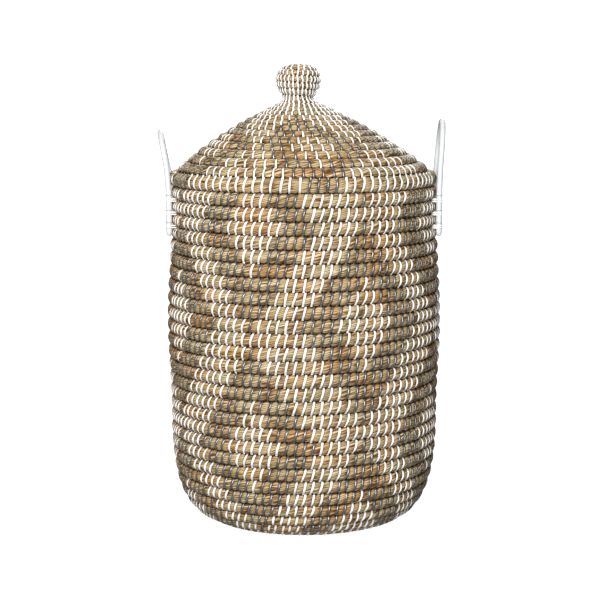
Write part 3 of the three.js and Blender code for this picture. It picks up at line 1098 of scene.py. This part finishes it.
    def is_grey(self, turn: int, shares: Array) -> Array:
        """Whether strips are grey, from the row's band on either side of the nearest column."""
        row, half = turn - self.knob_rows, self.column_angle / 2
        if not 0 <= row < len(self.bands):
            return np.zeros(len(shares), bool)
        degrees = ((shares - self.column(turn)) * 360 + half) % self.column_angle - half
        away = np.abs(degrees / 360 * self.strips[row])
        low, high = self.bands[row]
        return (away > low - 0.5) & (away < high + 0.5)

    def coil(self) -> Bundle:
        """The knob's and cone's bundle, from the knob's top down."""
        sewing = Sewing(
            self.strips_in, self.anchor, self.is_grey, 3.0, rise=1.3, lean=0.4, grip=0.9
        )
        last = self.turns + self.seam_share / 2
        return Bundle(
            self.outline, self.thickness, sewing, 0, last,
            edge=self.edge, place=self.onto_lid, seed=21, bare=(True, False),
        )

    def hoop(self) -> Ring:
        """The hoop's bundle, with its outline from the top down."""
        side = np.linspace((self.radius, self.hoop_top), (self.radius, self.hoop_foot), 40)
        sewing = Sewing(
            lambda turn: self.strips_in(self.turns),
            lambda turn: self.anchor(self.turns),
            lambda turn, shares: self.is_grey(self.turns, shares),
            lean=-3.0,
        )
        return Ring(
            Outline(side, -1), always(self.hoop_thickness), sewing, 0, 1,
            place=self.onto_lid, seed=31, bare=(True, False),
        )

    def collar(self) -> Bundle:
        """The ring inside the rim, three turns of a thin bundle from its foot up to the cone."""
        foot, count = self.rim_height - self.collar_depth, self.collar_strips
        row = (self.collar_top - foot) / self.collar_rows
        side = np.linspace((self.collar_outer, foot), (self.collar_outer, self.collar_top), 40)
        sewing = Sewing(
            lambda turn: count,
            lambda turn: 0.5 / count,
            lambda turn, shares: np.zeros(len(shares), bool),
            lean=0,
            grip=0.6,
        )
        return Bundle(
            Outline(side, 1), always(self.collar_thickness), sewing, 0, self.collar_rows,
            edge=lambda turns: row * np.floor(np.asarray(turns, float) + 1e-6),
            place=self.onto_lid, seed=41, bare=(True, False),
        )

    def build(self, finishes: Finishes) -> None:
        """Make the coil, the hoop, the collar, their strips and the coil's folded end."""
        coil, hoop, collar = self.coil(), self.hoop(), self.collar()
        for bundle, name, start, end, node in (
            (coil, "lid_knob", 0, self.knob_rows, "knob_coil"),
            (coil, "lid_cone", self.knob_rows, coil.last, "cone_coil"),
            (hoop, "lid_hoop_bundle", 0, 1, "lid_hoop"),
            (collar, "lid_collar_bundle", 0, collar.last, "lid_collar"),
        ):
            skin = bundle.surface(start, end)
            add_piece(skin, name, finishes.seagrass, "lid", "seagrass", node)
        for bundle, title in ((coil, "lid"), (hoop, "hoop"), (collar, "collar")):
            sew(bundle, title, "lid", finishes)
        turns = np.arange(CURL_STEPS) / CURL_STEPS
        reach, _ = self.outline.at(self.edge(turns), np.zeros(CURL_STEPS))
        skin = curled_end(reach + 1, self.top - self.knob_thickness, self.top - 0.5)
        skin.points = self.onto_lid(skin.points)
        add_piece(skin, "lid_curl", finishes.seagrass, "lid", "seagrass")


# Handles


@dataclass
class Handle:
    """A loop of rope with two legs that are lashed to the wall."""

    side: Side
    lean: float  # degrees that the loop leans outwards
    rise: float  # of its top above the line that it bends on
    twist: float  # degrees that the loop is turned about the upright
    row_height: float  # of the wall
    wall_radius: float = 197.5
    rim_height: float = 501
    rope_radius: float = 4.2
    rope_clearance: float = 0.3
    rope_sides: int = 16
    leg_standoff: float = 2.5
    leg_span: float = 104
    hinge_drop: float = 9
    # Heights above the hinge, between which the rope bends, leans over and is twisted.
    bend: tuple[float, float] = (-5, 16)
    leaning: tuple[float, float] = (-10, 10)
    twisting: tuple[float, float] = (-5, 45)
    leg_tail: float = 12
    leg_drop: float = 2
    wound_radius: float = 4.6  # of the legs, which are wound twice
    wound_end: tuple[float, float] = (-3, 6)  # heights above the hinge where that tapers off
    winding_pitch: float = 2.1
    winding_depth: float = 0.28
    winding_steps: int = 5  # to a pitch
    tip: float = 9  # of the legs' tapered ends
    tip_share: float = 0.28  # of the radius, at the very end
    lashings: int = 3
    lashing_width: float = 1.8
    lashing_thickness: float = 0.5
    lashing_reach: float = 12  # from the rope's middle in to the wall's seam
    lashing_rise: float = 1.5  # of each of a lashing's two turns from the seam
    bands: tuple[float, ...] = (489.0, 466.8, 449.0, 440.7)  # heights of the cords round a leg
    cord_radius: float = 0.45

    @property
    def name(self) -> str:
        """The side, as the nodes' names have it."""
        return self.side.name.lower()

    @property
    def leg_radius(self) -> float:
        """Distance of a leg's middle from the hamper's axis."""
        return self.wall_radius + self.leg_standoff + self.rope_clearance + self.rope_radius

    @property
    def leg_foot(self) -> float:
        """Height of the legs' feet, a tail below the last lashing."""
        return self.rim_height - self.lashings * self.row_height - self.leg_drop - self.leg_tail

    @property
    def hinge(self) -> tuple[float, float]:
        """Distance out and height of the line that the loop bends on."""
        out = math.sqrt(self.leg_radius**2 - (self.leg_span / 2) ** 2)
        return out, self.rim_height - self.hinge_drop

    def centre_line(self, distance: Array) -> tuple[Array, Array]:
        """Points on the middle of the rope, and the way that it runs there.

        The rope runs up from one foot, round half a circle and down to the other.

        Args:
            distance: How far along from that line on the front leg, below 0 on the leg.

        Returns:
            The points and unit vectors, one to a row.
        """
        half = self.leg_span / 2
        straight = self.rise - half
        turn = np.clip((distance - straight) / half, 0, math.pi)
        beyond = distance - straight - turn * half
        across = -half * np.cos(turn) + beyond * np.sin(turn)
        up = straight + half * np.sin(turn) + beyond * np.cos(turn)
        out, height = self.hinge
        levels = np.linspace(-120, 160, 1401)  # above the hinge
        tilt = math.radians(self.lean) * smooth(levels, *self.leaning)
        tilt = (tilt[1:] + tilt[:-1]) / 2
        sideways, upwards = (
            np.concatenate([[0], np.cumsum(part(tilt))]) * (levels[1] - levels[0])
            for part in (np.sin, np.cos)
        )
        twist = math.radians(self.twist) * smooth(up, *self.twisting)
        aside = out + np.interp(up, levels, sideways) + across * np.sin(twist)
        heights = height + levels[0] + np.interp(up, levels, upwards)
        points = np.stack([aside, across * np.cos(twist), heights], axis=-1)
        points[:, :2] *= self.side.value
        ways = np.gradient(points, distance, axis=0)
        return points, ways / np.linalg.norm(ways, axis=1)[:, None]

    def rope(self) -> Skin:
        """The rope, wound closely with strip.

        A point of it lies off the middle line by its radius, which swells by the winding's depth
        times |sin(pi (s / pitch - a / 2 pi))|^0.6 at distance s and angle a, so that the winding
        makes ridges on a helix. The ends taper.

        Returns:
            The skin.
        """
        leg = self.hinge[1] - self.leg_foot
        length = 2 * (self.rise - self.leg_span / 2) + math.pi * self.leg_span / 2
        stations = np.arange(-leg, length + leg, self.winding_pitch / self.winding_steps)
        stations = np.append(stations, length + leg)
        points, ways = self.centre_line(stations)
        from_end = np.minimum(stations + leg, length + leg - stations)
        wound = 1 - smooth(from_end, *(leg + height for height in self.wound_end))
        radius = self.rope_radius + (self.wound_radius - self.rope_radius) * wound
        taper = np.sqrt(1 - (1 - np.clip(from_end / self.tip, 0, 1)) ** 2)
        radius = radius * (self.tip_share + (1 - self.tip_share) * taper)
        angle = np.linspace(0, FULL_TURN, self.rope_sides + 1)[:-1]
        phase = stations[:, None] / self.winding_pitch - angle / FULL_TURN
        ridge = self.winding_depth * (np.abs(np.sin(math.pi * phase)) ** 0.6 - 1)
        aside = np.zeros_like(ways)
        aside[:, 0] = 1.0
        aside -= (aside * ways).sum(axis=1)[:, None] * ways
        aside /= np.linalg.norm(aside, axis=1)[:, None]
        beside = np.cross(ways, aside)
        cosine, sine = np.cos(angle)[None, :, None], np.sin(angle)[None, :, None]
        rim = cosine * aside[:, None] + sine * beside[:, None]
        grid = points[:, None] + (radius[:, None] + ridge)[..., None] * rim
        across = np.linspace(0, 1, self.rope_sides + 1) * FULL_TURN * self.rope_radius * MM
        return tube_skin(grid[None], stations[None] * MM, across, False, True)

    def loops(
        self, heights: Sequence[float], shape: Array, size: tuple[float, float], slant: float
    ) -> Skin:
        """Closed loops of strip or cord round the legs.

        Args:
            heights: Where each loop lies.
            shape: The loop's own outline, outwards and sideways, one point to a row.
            size: Half of its width, up the leg, and of its thickness.
            slant: How much higher a loop is on one side than on the other, over its size.

        Returns:
            The skin.
        """
        count, sides = len(shape), 8
        steps = np.roll(shape, -1, axis=0) - np.roll(shape, 1, axis=0)
        normal = np.stack([steps[:, 1], -steps[:, 0]], axis=-1)
        normal /= np.linalg.norm(normal, axis=1)[:, None]
        angle = np.linspace(0, FULL_TURN, sides + 1)[:-1]
        up, outwards = arch(angle, 0.6 if size[0] > 1.5 * size[1] else 1.0)
        flat = shape[:, None] + normal[:, None] * outwards[None, :, None] * size[1]
        rise = up * size[0] + slant * flat[..., 1]
        local = np.concatenate([flat, rise[..., None]], axis=-1)
        mirror = np.array([self.side.value, self.side.value, 1])
        grids = []
        for leg in (-1, 1):
            turn = leg * math.asin(self.leg_span / 2 / self.leg_radius)
            cosine, sine = math.cos(turn), math.sin(turn)
            spin = np.array([[cosine, sine, 0], [-sine, cosine, 0], [0, 0, 1]])
            foot = np.array([self.hinge[0], leg * self.leg_span / 2, 0])
            for height in heights:
                grids.append(((local + np.array([0, 0, height])) @ spin + foot) * mirror)
        grid = np.array(grids)
        run = np.broadcast_to(np.linspace(0, 1, count) * 0.03, (len(grid), count))
        skin = tube_skin(grid, run, np.linspace(0, 1, sides + 1) * 0.005, True, False)
        skin.attributes["tone"] = np.repeat(np.linspace(0, 1, len(grid)), count * sides)
        return skin

    def build(self, finishes: Finishes) -> None:
        """Make the rope, its lashings and the cords round its legs."""
        out, height = self.hinge
        sign = self.side.value * MM
        rope = self.rope().build(f"{self.name}_rope", finishes.rope)
        low, high = self.bend
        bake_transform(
            rope,
            "basket",
            f"{self.name}_handle",
            start=(sign * out, 0, (height + low) * MM),
            end=(sign * out, 0, (height + high) * MM),
        )
        legs = [f"{self.name}_{end}_leg" for end in ("front", "back")]
        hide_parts(f"{self.name}_loop", *legs)
        log.info("%s: %d faces across the bend", rope.name, len(rope.data.polygons))
        self.lash(finishes, legs)
        whole = np.linspace(0, FULL_TURN, 21)[:-1]
        circle = np.stack([np.cos(whole), np.sin(whole)], axis=-1) * (self.wound_radius + 0.1)
        skin = self.loops(self.bands, circle, (self.cord_radius, self.cord_radius), 0.04)
        add_piece(skin, f"{self.name}_cords", finishes.thread, "basket", "wrapped_rope")

    def lash(self, finishes: Finishes, legs: Sequence[str]) -> None:
        """Make the lashings, each two turns round a leg and in to a seam of the wall."""
        radius = self.wound_radius + self.lashing_thickness / 2
        half = np.linspace(-math.pi / 2, math.pi / 2, 13)
        front = np.stack([np.cos(half), np.sin(half)], axis=-1) * radius
        sides = ((1, 0.4), (1, 0.8), (0.6, 1.0), (-0.6, 1.0), (-1, 0.8), (-1, 0.4))
        back = [(-self.lashing_reach * share, radius * side) for side, share in sides]
        heights = [
            self.rim_height - (row + 1) * self.row_height + lift
            for row in range(self.lashings)
            for lift in (-self.lashing_rise, self.lashing_rise)
        ]
        size = (self.lashing_width / 2, self.lashing_thickness / 2)
        skin = self.loops(heights, np.concatenate([front, back]), size, 0.06)
        nodes = [f"{leg}_lashing_{n + 1}" for leg in legs for n in range(self.lashings)]
        name = f"{self.name}_lashings"
        add_piece(skin, name, finishes.strips[Shade.WHITE], "basket", "plastic_strip", *nodes)


# Studio


@dataclass
class Studio:
    """The camera, the floor and the light. Its lengths are in metres."""

    distance: float = 2.4
    height: float = 0.665
    tilt: float = 0.14  # how far the camera looks down, in radians
    yaw: float = 0.0025  # and to the left
    focal_pixels: float = 1607
    picture: int = 600  # pixels across
    sensor: float = 36
    view_depth: float = 50
    floor_size: float = 6
    floor_cover: float = 0.25  # what share of the light the floor stops
    glow: tuple[float, float] = (0.05, 1.4)  # of the world, as a light and to the camera
    scrims: tuple[tuple[str, float, float], ...] = (
        # name, degrees round from the front, power in W
        ("front scrim", -9, 182),
        ("back scrim", 172, 80),
    )
    scrim_rise: float = 27  # degrees above the ground
    scrim_width: float = 2.0
    scrim_height: float = 3.2
    scrim_distance: float = 3.2
    scrim_aim: float = 0.3  # height that it is turned to

    def place_camera(self) -> None:
        """Put the camera where the photograph was taken from."""
        data = bpy.data.cameras.new("camera")
        data.sensor_width = self.sensor
        data.lens = self.focal_pixels / self.picture * data.sensor_width
        data.clip_end = self.view_depth
        camera = bpy.data.objects.new("camera", data)
        camera.location = (0, -self.distance, self.height)
        camera.rotation_euler = Euler((math.pi / 2 - self.tilt, 0, self.yaw))
        bpy.context.scene.collection.objects.link(camera)
        bpy.context.scene.camera = camera

    def lay_floor(self) -> None:
        """Lay a floor of thin frosted sheet, which lets the white below through."""
        corners = [(-1, -1, 0), (1, -1, 0), (1, 1, 0), (-1, 1, 0)]
        points = np.array(corners, float) * self.floor_size / 2 / MM
        sheet = {"Base Color": linear("f4f4f4"), "Roughness": 0.9, "Alpha": self.floor_cover}
        material = Graph("acrylic sheet, cast, frosted").finish(sheet)
        skin = Skin(points, [np.array([[0, 1, 2, 3]])], [np.zeros((1, 4, 2))], [True])
        skin.build("floor", material)

    def light_world(self) -> None:
        """Make the world white to the camera, and a weak light."""
        world = bpy.data.worlds.new("studio")
        world.use_nodes = True
        tree = world.node_tree
        tree.nodes.clear()
        seen = add_node(tree, "LightPath").outputs["Is Camera Ray"]
        inputs = {"Value": seen, "To Min": self.glow[0], "To Max": self.glow[1]}
        strength = add_node(tree, "MapRange", None, inputs).outputs[0]
        light = add_node(tree, "Background", None, {"Color": (1, 1, 1, 1), "Strength": strength})
        add_node(tree, "OutputWorld", None, {"Surface": light.outputs[0]})
        bpy.context.scene.world = world

    def hang_scrims(self) -> None:
        """Light it with a large lit cloth in front, and a weaker one behind."""
        rise = math.radians(self.scrim_rise)
        for name, azimuth, power in self.scrims:
            turn = math.radians(azimuth)
            data = bpy.data.lights.new(name, "AREA")
            data.shape = "RECTANGLE"
            data.size, data.size_y = self.scrim_width, self.scrim_height
            data.energy = power
            lamp = bpy.data.objects.new(name, data)
            lamp.location = (
                self.scrim_distance * math.sin(turn) * math.cos(rise),
                -self.scrim_distance * math.cos(turn) * math.cos(rise),
                self.scrim_distance * math.sin(rise) + self.scrim_aim,
            )
            lamp.rotation_euler = Euler((math.pi / 2 - rise, 0, turn))
            bpy.context.scene.collection.objects.link(lamp)

    def build(self) -> None:
        """Set up the camera, the floor and the light."""
        self.place_camera()
        self.lay_floor()
        self.light_world()
        self.hang_scrims()
        bpy.context.scene.view_settings.view_transform = "Standard"


def main() -> None:
    """Build the scene, piece by piece."""
    logging.basicConfig(level=logging.INFO, format="%(name)s: %(message)s")
    Studio().build()
    finishes = Finishes()
    basket = Basket()
    basket.build(finishes)
    Lid().build(finishes)
    for side, lean, rise, twist in ((Side.LEFT, 10.5, 88, -4.5), (Side.RIGHT, 4, 104, 1.5)):
        Handle(side, lean, rise, twist, basket.row_height).build(finishes)


if __name__ == "__main__":
    main()
